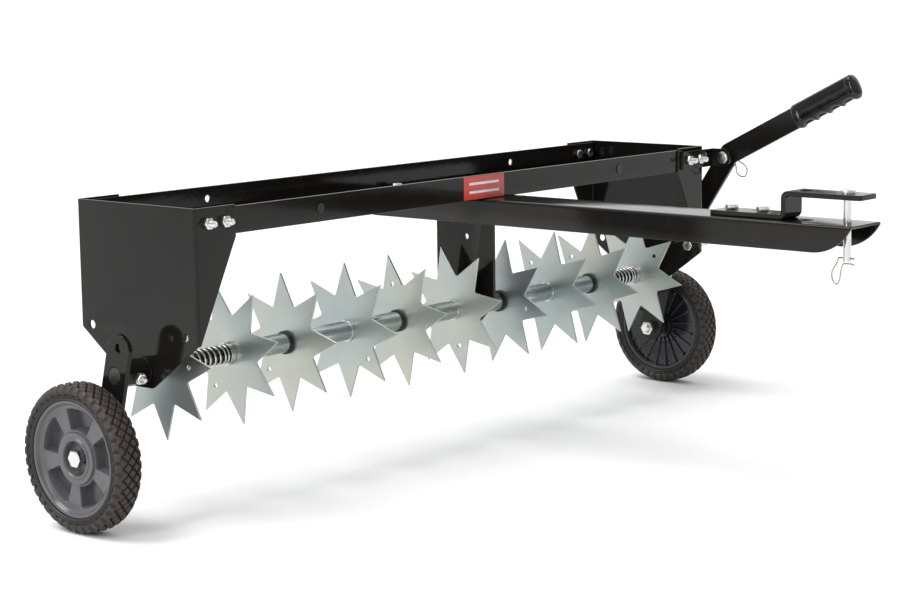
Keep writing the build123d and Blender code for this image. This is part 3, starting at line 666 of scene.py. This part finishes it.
def hub_piece(side):
    """Moulded wheel centre: dished face with five pockets and a stepped boss outside, thin ribs inside."""
    node = f"hub_{side}"
    lo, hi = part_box(node)
    centre = WHEEL[side]
    rim = (hi.z - lo.z) / 2
    out = 1 if side == "right" else -1
    half = (hi.x - lo.x) / 2
    mid = (hi.x + lo.x) / 2
    bore = 6.5 * MM
    steps = 720

    def face(r, a):
        """How far the outer face stands from the hub's middle plane."""
        t = r / MM
        lip = half / MM - 1.0
        dish = 7.5 + 4.5 * smooth(54, 66, t)
        h = dish + (lip - dish) * smooth(62.5, 66.5, t)
        # five pockets between broad spokes
        step = 2 * math.pi / 5
        b = ((a - math.radians(62)) % step) - step / 2
        half_angle = math.radians(22.5)
        side_fall = 1 - smooth(-0.035, 0.035, abs(b) - half_angle)
        radial = smooth(33.0, 35.0, t) * (1 - smooth(56.0, 58.5, t))
        h -= 11.0 * side_fall * radial
        # boss: outer step, flat ring and the recess for the bolt head
        h += 3.0 * (1 - smooth(30.2, 31.4, t))
        h += 1.2 * (smooth(20.4, 21.2, t) - smooth(23.6, 24.4, t))
        h -= 9.5 * (1 - smooth(18.8, 20.2, t))
        return h * MM

    def back(r, a):
        """How far the inner face stands from the middle plane."""
        t = r / MM
        h = 5.0 + 3.0 * smooth(24, 62, t) + (half / MM - 1.0 - 8.0) * smooth(63.0, 64.5, t)
        h += 7.0 * (1 - smooth(18.5, 20.0, t)) + 1.6 * (smooth(27.4, 28.0, t) - smooth(29.6, 30.2, t))
        ribs = 20
        b = abs(((a / (2 * math.pi) * ribs) % 1.0) - 0.5) / ribs * 2 * math.pi * r
        rib = 1 - smooth(0.45 * MM, 0.95 * MM, b)
        rib *= smooth(19.5, 21.0, t) * (1 - smooth(62.4, 63.4, t))
        h += 2.8 * rib
        pin = math.hypot(r - 57 * MM, (((a / (2 * math.pi) * 10 + 0.25) % 1.0) - 0.5) / 10 * 2 * math.pi * r)
        dot = 1 - smooth(1.6 * MM, 2.3 * MM, pin)
        rim_line = smooth(63.0, 64.2, t) * (1 - smooth(65.2, 66.4, t))
        # the second value marks raised ribs, pin dots and the rim line for a painted highlight
        return (h + 2.6 * dot) * MM, max(0.75 * rib, dot, 0.8 * rim_line)

    bm = bmesh.new()
    radii = [bore, 8 * MM, 11 * MM, 14 * MM, 17 * MM]
    radii += [v * MM for v in (
        18.5, 18.9, 19.3, 19.8, 20.3, 20.8, 21.3, 22.4, 23.5, 24.0, 24.5, 26, 27.3, 27.8, 28.4,
        29.5, 30.1, 30.7, 31.5, 32.8, 33.4, 34.0, 34.6, 35.3, 38, 41, 44, 47, 50, 52.5, 54.5, 55.3,
        55.9, 56.6, 57.2, 57.9, 58.6, 59.5, 61.0, 62.3, 62.9, 63.5, 64.1, 64.8, 65.6, 66.6, 67.4)]
    radii.append(rim - 0.8 * MM)
    rows, light = [], []

    def ring(r, across):
        angles = [2 * math.pi * k / steps for k in range(steps)]
        rows.append([Vector((mid + x, centre.y + r * math.cos(a), centre.z + r * math.sin(a)))
                     for x, a in zip(across, angles)])

    turns = [2 * math.pi * k / steps for k in range(steps)]
    for r in radii:
        ring(r, [out * face(r, a) for a in turns])
        light.append([0.0] * steps)
    for x in (half - 2.0 * MM, -half + 2.0 * MM):
        ring(rim, [out * x] * steps)
        light.append([0.0] * steps)
    for r in reversed(radii):
        pairs = [back(r, a) for a in turns]
        ring(r, [-out * h for h, _ in pairs])
        light.append([share for _, share in pairs])
    # painted highlight: per-vertex share of the lightening on the inner ribs, pin dots and rim line
    painted_highlight_layer = bm.verts.layers.float.new("rib")
    for verts, shares in zip(grid_mesh(bm, rows, closed_v=True), light):
        for v, share in zip(verts, shares):
            v[painted_highlight_layer] = share
    return add_piece(f"{node}_moulded", to_mesh(bm, node), node, 40)


for side in ("left", "right"):
    tyre_piece(side)
    hub_piece(side)


# ---------------------------------------------------------------- finger grip

def grip_piece():
    """Moulded sleeve over the end of the lever with finger swells below and a rounded end."""
    node = "lever_grip"
    points = [v.co.copy() for v in frame["nodes"][node].data.vertices]
    rise = math.radians(26.6)
    ahead = Vector((0, -math.cos(rise), math.sin(rise)))
    up = Vector((0, math.sin(rise), math.cos(rise)))
    across = Vector((1, 0, 0))
    s = [p.dot(ahead) for p in points]
    u = [p.dot(up) for p in points]
    x = [p.x for p in points]
    start, end = min(s), max(s)
    mid_u = (min(u) + max(u)) / 2
    mid_x = (min(x) + max(x)) / 2
    tall = (max(u) - min(u)) / 2
    wide = (max(x) - min(x)) / 2
    length = end - start
    n, steps = 90, 48
    bm = bmesh.new()
    rows = []
    for i in range(n + 1):
        t = i / n
        grow = min(1.0, (t / 0.03) ** 0.5 if t < 0.03 else 1.0)
        close = 1.0 if t < 0.93 else math.sqrt(max(0.0, 1 - ((t - 0.93) / 0.07) ** 2))
        size = (0.90 + 0.10 * grow) * max(close, 0.12)
        swell = 1 - abs(math.sin(math.pi * (t - 0.06) / 0.84 * 4)) if 0.06 < t < 0.90 else 1.0
        ring = []
        for k in range(steps):
            a = 2 * math.pi * k / steps
            c, d = math.cos(a), math.sin(a)
            px = wide * (abs(c) ** 0.75) * (1 if c >= 0 else -1)
            pu = tall * (abs(d) ** 0.80) * (1 if d >= 0 else -1)
            below = max(0.0, -d)
            pu += below ** 2 * 0.24 * (1 - swell ** 1.5) * tall
            px *= 1 - 0.06 * (1 - swell) * below
            # a sunk panel on each flank with a raised border
            inside = smooth(0.07, 0.10, t) * (1 - smooth(0.86, 0.89, t))
            inside *= 1 - smooth(0.50, 0.62, abs(d - 0.12))
            px -= 1.1 * MM * inside * (1 if c > 0 else -1)
            p = ahead * (start + length * t) + up * (mid_u + pu * size) + across * (mid_x + px * size)
            ring.append(p)
        rows.append(ring)
    v = grid_mesh(bm, rows)
    cap(bm, v[0])
    cap(bm, v[-1])
    return add_piece("lever_grip_moulded", to_mesh(bm, node), node, 50)


grip_piece()


# ---------------------------------------------------------------- studio

def floor_piece():
    ground = min(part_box("tyre_left")[0].z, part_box("tyre_right")[0].z)
    bm = bmesh.new()
    size = 60.0
    corners = ((-size, -size), (size, -size), (size, size), (-size, size))
    vs = [bm.verts.new((x, y, ground)) for x, y in corners]
    bm.faces.new(vs)
    mesh = bpy.data.meshes.new("floor")
    bm.to_mesh(mesh)
    bm.free()
    obj = bpy.data.objects.new("floor", mesh)
    bpy.context.scene.collection.objects.link(obj)
    m = Nodes("floor_white")
    tone = m.mix(m.noise(0.6, 2), (0.90, 0.90, 0.90), (0.92, 0.92, 0.92))
    m.set(Base_Color=tone, Roughness=0.9, Specular_IOR_Level=0.0)
    mesh.materials.append(m.mat)


def area_light(name, place, target, size, energy, tint=(1, 1, 1)):
    data = bpy.data.lights.new(name, "AREA")
    data.shape = "RECTANGLE"
    data.size, data.size_y = size
    data.energy = energy
    data.color = tint
    obj = bpy.data.objects.new(name, data)
    bpy.context.scene.collection.objects.link(obj)
    obj.location = place
    obj.rotation_mode = "QUATERNION"
    obj.rotation_quaternion = (Vector(target) - Vector(place)).to_track_quat("-Z", "Y")


def grey_ramp(tree, first, position, last):
    """A ramp of greys from first at 0 to last at position."""
    node = tree.nodes.new("ShaderNodeValToRGB")
    for element, place, grey in zip(node.color_ramp.elements, (0.0, position), (first, last)):
        element.position = place
        element.color = (grey, grey, grey, 1)
    return node


def studio():
    world = bpy.data.worlds.new("studio")
    bpy.context.scene.world = world
    world.use_nodes = True
    tree = world.node_tree
    back = tree.nodes["Background"]
    coord = tree.nodes.new("ShaderNodeTexCoord")
    split = tree.nodes.new("ShaderNodeSeparateXYZ")
    across = tree.nodes.new("ShaderNodeVectorMath")
    across.operation = "DOT_PRODUCT"
    across.inputs[1].default_value = (0.75, 0.66, 0.0)
    scale = tree.nodes.new("ShaderNodeMix")
    scale.data_type = "RGBA"
    scale.blend_type = "MULTIPLY"
    scale.inputs["Factor"].default_value = 1.0
    colour_a, colour_b, colour_out = scale.inputs[6], scale.inputs[7], scale.outputs[2]
    # darker at the horizon than overhead, and brighter towards the back right
    height = grey_ramp(tree, 0.42, 0.8, 0.86)
    side = grey_ramp(tree, 0.8, 0.9, 2.1)
    tree.links.new(coord.outputs["Generated"], split.inputs[0])
    tree.links.new(coord.outputs["Generated"], across.inputs[0])
    tree.links.new(split.outputs["Z"], height.inputs["Fac"])
    tree.links.new(across.outputs["Value"], side.inputs["Fac"])
    tree.links.new(height.outputs["Color"], colour_a)
    tree.links.new(side.outputs["Color"], colour_b)
    tree.links.new(colour_out, back.inputs["Color"])
    back.inputs["Strength"].default_value = 1.0
    sun = bpy.data.lights.new("softbox_back_left", "SUN")
    sun.energy = 1.75
    sun.angle = math.radians(32)
    obj = bpy.data.objects.new("softbox_back_left", sun)
    bpy.context.scene.collection.objects.link(obj)
    obj.rotation_mode = "QUATERNION"
    obj.rotation_quaternion = Vector((0.42, -0.34, -1.0)).to_track_quat("-Z", "Y")
    area_light("strip_front_left", (-3.0, 0.2, 1.2), (0.1, 0.3, -0.05), (0.5, 1.8), 30)


def camera():
    """Front left and a little above, with the focal length of a short telephoto."""
    azimuth, elevation, roll = math.radians(-49.3), math.radians(8.71), math.radians(-0.76)
    flat = math.cos(elevation)
    back = Vector((math.sin(azimuth) * flat, -math.cos(azimuth) * flat, math.sin(elevation)))
    right = (-back).cross(Vector((0, 0, 1))).normalized()
    up = right.cross(-back)
    right, up = right * math.cos(roll) + up * math.sin(roll), up * math.cos(roll) - right * math.sin(roll)
    data = bpy.data.cameras.new("camera")
    data.sensor_width = 36.0
    data.lens = 36.0 * 2166.2 / 900
    data.clip_start, data.clip_end = 0.1, 200.0
    obj = bpy.data.objects.new("camera", data)
    bpy.context.scene.collection.objects.link(obj)
    m = Matrix((right, up, back)).transposed().to_4x4()
    m.translation = Vector((-2.1934, -1.3321, 0.2823))
    obj.matrix_world = m
    bpy.context.scene.camera = obj


floor_piece()
studio()
camera()
bpy.context.scene.view_settings.view_transform = "Standard"
